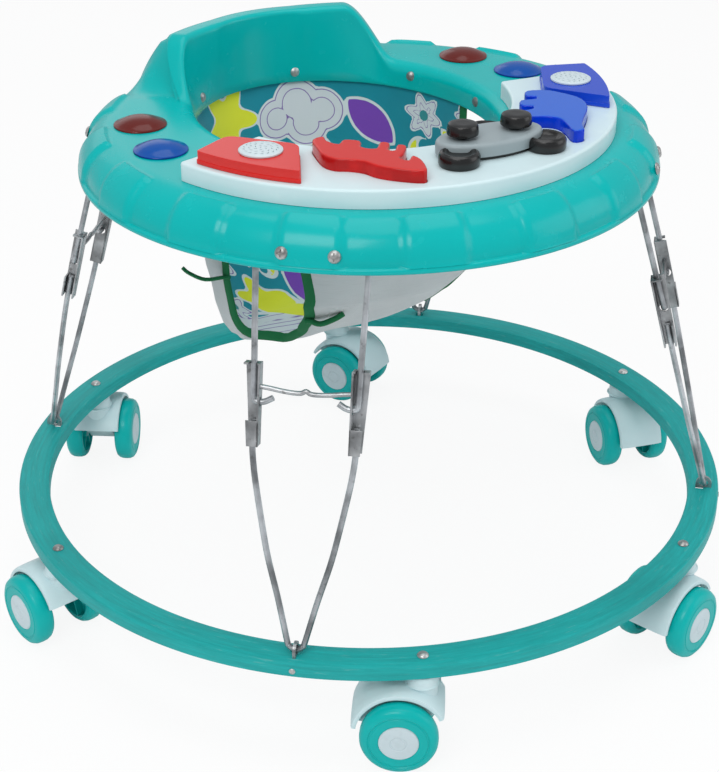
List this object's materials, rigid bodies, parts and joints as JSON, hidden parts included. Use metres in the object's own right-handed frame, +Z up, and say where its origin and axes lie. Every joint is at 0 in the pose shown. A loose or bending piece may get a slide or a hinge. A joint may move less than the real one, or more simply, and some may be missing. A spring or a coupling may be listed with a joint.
{
  "type": "baby activity walker",
  "caption": "Folding baby walker: round toy tray and cloth seat on wire legs over a ring with twin-wheel swivel casters.",
  "frame": {"origin": "on the floor under the centre of the base ring", "axes": "+Z up; the toy panel faces -Y and the backrest stands at +Y"},
  "size_m": [0.6854, 0.6444, 0.463],
  "materials": {
    "tray_teal": "smooth moulded plastic",
    "ring_teal": "fine-grained moulded plastic",
    "wheel_teal": "smooth moulded plastic",
    "caster_white": "smooth moulded plastic",
    "zinc_steel": "zinc-plated drawn wire and sheet",
    "panel_white": "smooth moulded plastic",
    "clear_red": "clear tinted moulding",
    "clear_blue": "clear tinted moulding",
    "dark_red": "clear tinted moulding",
    "dark_blue": "clear tinted moulding",
    "car_grey": "smooth moulded plastic",
    "toy_black": "glossy moulding",
    "seat_cloth": "printed woven cloth",
    "binding_tape": "woven binding tape",
    "board_grey": "moulded housing"
  },
  "bodies": {
    "base": {"base_ring": "ring_teal", "caster_stem_1": "zinc_steel", "caster_stem_2": "zinc_steel", "caster_stem_3": "zinc_steel", "caster_stem_4": "zinc_steel", "caster_stem_5": "zinc_steel", "caster_stem_6": "zinc_steel"},
    "caster_1": {"caster_fork_1": "caster_white"},
    "wheel_1_left": {"caster_wheel_1_left": "wheel_teal"},
    "wheel_1_right": {"caster_wheel_1_right": "wheel_teal"},
    "caster_2": {"caster_fork_2": "caster_white"},
    "wheel_2_left": {"caster_wheel_2_left": "wheel_teal"},
    "wheel_2_right": {"caster_wheel_2_right": "wheel_teal"},
    "caster_3": {"caster_fork_3": "caster_white"},
    "wheel_3_left": {"caster_wheel_3_left": "wheel_teal"},
    "wheel_3_right": {"caster_wheel_3_right": "wheel_teal"},
    "caster_4": {"caster_fork_4": "caster_white"},
    "wheel_4_left": {"caster_wheel_4_left": "wheel_teal"},
    "wheel_4_right": {"caster_wheel_4_right": "wheel_teal"},
    "caster_5": {"caster_fork_5": "caster_white"},
    "wheel_5_left": {"caster_wheel_5_left": "wheel_teal"},
    "wheel_5_right": {"caster_wheel_5_right": "wheel_teal"},
    "caster_6": {"caster_fork_6": "caster_white"},
    "wheel_6_left": {"caster_wheel_6_left": "wheel_teal"},
    "wheel_6_right": {"caster_wheel_6_right": "wheel_teal"},
    "lower_leg_1": {"lower_leg_wire_1": "zinc_steel", "latch_frame_1": "zinc_steel"},
    "upper_leg_1": {"upper_leg_wire_1": "zinc_steel"},
    "lower_leg_2": {"lower_leg_wire_2": "zinc_steel", "latch_frame_2": "zinc_steel"},
    "upper_leg_2": {"upper_leg_wire_2": "zinc_steel"},
    "lower_leg_3": {"lower_leg_wire_3": "zinc_steel", "latch_frame_3": "zinc_steel"},
    "upper_leg_3": {"upper_leg_wire_3": "zinc_steel"},
    "lower_leg_4": {"lower_leg_wire_4": "zinc_steel", "latch_frame_4": "zinc_steel"},
    "upper_leg_4": {"upper_leg_wire_4": "zinc_steel"},
    "tray": {"tray_shell": "tray_teal", "leg_clamp_1": "caster_white", "leg_clamp_2": "caster_white", "leg_clamp_3": "caster_white", "leg_clamp_4": "caster_white", "toy_panel": "panel_white", "sound_module": "board_grey", "red_music_block": "clear_red", "blue_music_block": "clear_blue", "red_speaker_grille": "panel_white", "blue_speaker_grille": "panel_white", "toy_car_tyres": "toy_black", "toy_car_body": "car_grey", "red_dome_left": "dark_red", "red_dome_right": "dark_red", "blue_dome_left": "dark_blue", "blue_dome_right": "dark_blue", "seat_sling": "seat_cloth", "seat_binding": "binding_tape"},
    "crocodile_key": {"crocodile_key": "clear_red"},
    "elephant_key": {"elephant_key": "clear_blue"},
    "toy_car_knob_1": {"toy_car_knob_1": "toy_black"},
    "toy_car_knob_2": {"toy_car_knob_2": "toy_black"}
  },
  "joints": [
    {"name": "caster_1_swivel", "type": "hinge", "parent": "base", "child": "caster_1", "pos_m": [-0.13724, -0.27406, 0.0784], "axis": [0, 0, 1], "continuous": true},
    {"name": "wheel_1_left_spin", "type": "hinge", "parent": "caster_1", "child": "wheel_1_left", "pos_m": [-0.16594, -0.28354, 0.0304], "axis": [-0.6088, -0.7934, 0], "continuous": true},
    {"name": "wheel_1_right_spin", "type": "hinge", "parent": "caster_1", "child": "wheel_1_right", "pos_m": [-0.13551, -0.24388, 0.0304], "axis": [-0.6088, -0.7934, 0], "continuous": true},
    {"name": "caster_2_swivel", "type": "hinge", "parent": "base", "child": "caster_2", "pos_m": [0.13628, -0.27454, 0.0784], "axis": [0, 0, 1], "continuous": true},
    {"name": "wheel_2_left_spin", "type": "hinge", "parent": "caster_2", "child": "wheel_2_left", "pos_m": [0.12608, -0.303, 0.0304], "axis": [0.2504, -0.9681, 0], "continuous": true},
    {"name": "wheel_2_right_spin", "type": "hinge", "parent": "caster_2", "child": "wheel_2_right", "pos_m": [0.11356, -0.25459, 0.0304], "axis": [0.2504, -0.9681, 0], "continuous": true},
    {"name": "caster_3_swivel", "type": "hinge", "parent": "base", "child": "caster_3", "pos_m": [0.30629, -0.01123, 0.0784], "axis": [0, 0, 1], "continuous": true},
    {"name": "wheel_3_left_spin", "type": "hinge", "parent": "caster_3", "child": "wheel_3_left", "pos_m": [0.32503, -0.03496, 0.0304], "axis": [0.9537, -0.3007, 0], "continuous": true},
    {"name": "wheel_3_right_spin", "type": "hinge", "parent": "caster_3", "child": "wheel_3_right", "pos_m": [0.27734, -0.01993, 0.0304], "axis": [0.9537, -0.3007, 0], "continuous": true},
    {"name": "caster_4_swivel", "type": "hinge", "parent": "base", "child": "caster_4", "pos_m": [0.14389, 0.27062, 0.0784], "axis": [0, 0, 1], "continuous": true},
    {"name": "wheel_4_left_spin", "type": "hinge", "parent": "caster_4", "child": "wheel_4_left", "pos_m": [0.17365, 0.26526, 0.0304], "axis": [0.9135, 0.4067, 0], "continuous": true},
    {"name": "wheel_4_right_spin", "type": "hinge", "parent": "caster_4", "child": "wheel_4_right", "pos_m": [0.12797, 0.24493, 0.0304], "axis": [0.9135, 0.4067, 0], "continuous": true},
    {"name": "caster_5_swivel", "type": "hinge", "parent": "base", "child": "caster_5", "pos_m": [-0.14766, 0.26859, 0.0784], "axis": [0, 0, 1], "continuous": true},
    {"name": "wheel_5_left_spin", "type": "hinge", "parent": "caster_5", "child": "wheel_5_left", "pos_m": [-0.15689, 0.29738, 0.0304], "axis": [-0.788, 0.6157, 0], "continuous": true},
    {"name": "wheel_5_right_spin", "type": "hinge", "parent": "caster_5", "child": "wheel_5_right", "pos_m": [-0.11749, 0.26659, 0.0304], "axis": [-0.788, 0.6157, 0], "continuous": true},
    {"name": "caster_6_swivel", "type": "hinge", "parent": "base", "child": "caster_6", "pos_m": [-0.30589, 0.01925, 0.0784], "axis": [0, 0, 1], "continuous": true},
    {"name": "wheel_6_left_spin", "type": "hinge", "parent": "caster_6", "child": "wheel_6_left", "pos_m": [-0.33266, 0.03331, 0.0304], "axis": [-0.9936, -0.1132, 0], "continuous": true},
    {"name": "wheel_6_right_spin", "type": "hinge", "parent": "caster_6", "child": "wheel_6_right", "pos_m": [-0.28298, 0.03897, 0.0304], "axis": [-0.9936, -0.1132, 0], "continuous": true},
    {"name": "leg_1_foot_hinge", "type": "hinge", "parent": "base", "child": "lower_leg_1", "pos_m": [-0.21673, -0.21673, 0.0944], "axis": [-0.7071, 0.7071, 0], "range_deg": [0, 54], "deforming": ["seat_sling", "seat_binding"]},
    {"name": "leg_1_knee_hinge", "type": "hinge", "parent": "lower_leg_1", "child": "upper_leg_1", "pos_m": [-0.18159, -0.18159, 0.28143], "axis": [-0.7071, 0.7071, 0], "range_deg": [-133, 0]},
    {"name": "leg_2_foot_hinge", "type": "hinge", "parent": "base", "child": "lower_leg_2", "pos_m": [0.21673, -0.21673, 0.0944], "axis": [-0.7071, -0.7071, 0], "range_deg": [0, 54]},
    {"name": "leg_2_knee_hinge", "type": "hinge", "parent": "lower_leg_2", "child": "upper_leg_2", "pos_m": [0.18159, -0.18159, 0.28143], "axis": [-0.7071, -0.7071, 0], "range_deg": [-133, 0]},
    {"name": "leg_3_foot_hinge", "type": "hinge", "parent": "base", "child": "lower_leg_3", "pos_m": [0.21673, 0.21673, 0.0944], "axis": [0.7071, -0.7071, 0], "range_deg": [0, 54]},
    {"name": "leg_3_knee_hinge", "type": "hinge", "parent": "lower_leg_3", "child": "upper_leg_3", "pos_m": [0.18159, 0.18159, 0.28143], "axis": [0.7071, -0.7071, 0], "range_deg": [-133, 0]},
    {"name": "leg_4_foot_hinge", "type": "hinge", "parent": "base", "child": "lower_leg_4", "pos_m": [-0.21673, 0.21673, 0.0944], "axis": [0.7071, 0.7071, 0], "range_deg": [0, 54]},
    {"name": "leg_4_knee_hinge", "type": "hinge", "parent": "lower_leg_4", "child": "upper_leg_4", "pos_m": [-0.18159, 0.18159, 0.28143], "axis": [0.7071, 0.7071, 0], "range_deg": [-133, 0]},
    {"name": "tray_hinge", "type": "hinge", "parent": "upper_leg_1", "child": "tray", "pos_m": [-0.15874, -0.15874, 0.3894], "axis": [-0.7071, 0.7071, 0], "range_deg": [0, 79]},
    {"name": "crocodile_press", "type": "slide", "parent": "tray", "child": "crocodile_key", "axis": [0, 0, 1], "range_m": [-0.0025, 0], "stiffness_N_per_m": 400, "springref_m": 0.003},
    {"name": "elephant_press", "type": "slide", "parent": "tray", "child": "elephant_key", "axis": [0, 0, 1], "range_m": [-0.0025, 0], "stiffness_N_per_m": 400, "springref_m": 0.003},
    {"name": "car_knob_1_press", "type": "slide", "parent": "tray", "child": "toy_car_knob_1", "axis": [0, 0, 1], "range_m": [-0.0025, 0], "stiffness_N_per_m": 400, "springref_m": 0.003},
    {"name": "car_knob_2_press", "type": "slide", "parent": "tray", "child": "toy_car_knob_2", "axis": [0, 0, 1], "range_m": [-0.0025, 0], "stiffness_N_per_m": 400, "springref_m": 0.003}
  ],
  "couplings": [
    {"joint": "leg_1_knee_hinge", "follows": "leg_1_foot_hinge", "ratio": -2.46},
    {"joint": "leg_2_foot_hinge", "follows": "leg_1_foot_hinge", "ratio": 1},
    {"joint": "leg_2_knee_hinge", "follows": "leg_1_foot_hinge", "ratio": -2.46},
    {"joint": "leg_3_foot_hinge", "follows": "leg_1_foot_hinge", "ratio": 1},
    {"joint": "leg_3_knee_hinge", "follows": "leg_1_foot_hinge", "ratio": -2.46},
    {"joint": "leg_4_foot_hinge", "follows": "leg_1_foot_hinge", "ratio": 1},
    {"joint": "leg_4_knee_hinge", "follows": "leg_1_foot_hinge", "ratio": -2.46},
    {"joint": "tray_hinge", "follows": "leg_1_foot_hinge", "ratio": 1.46}
  ]
}
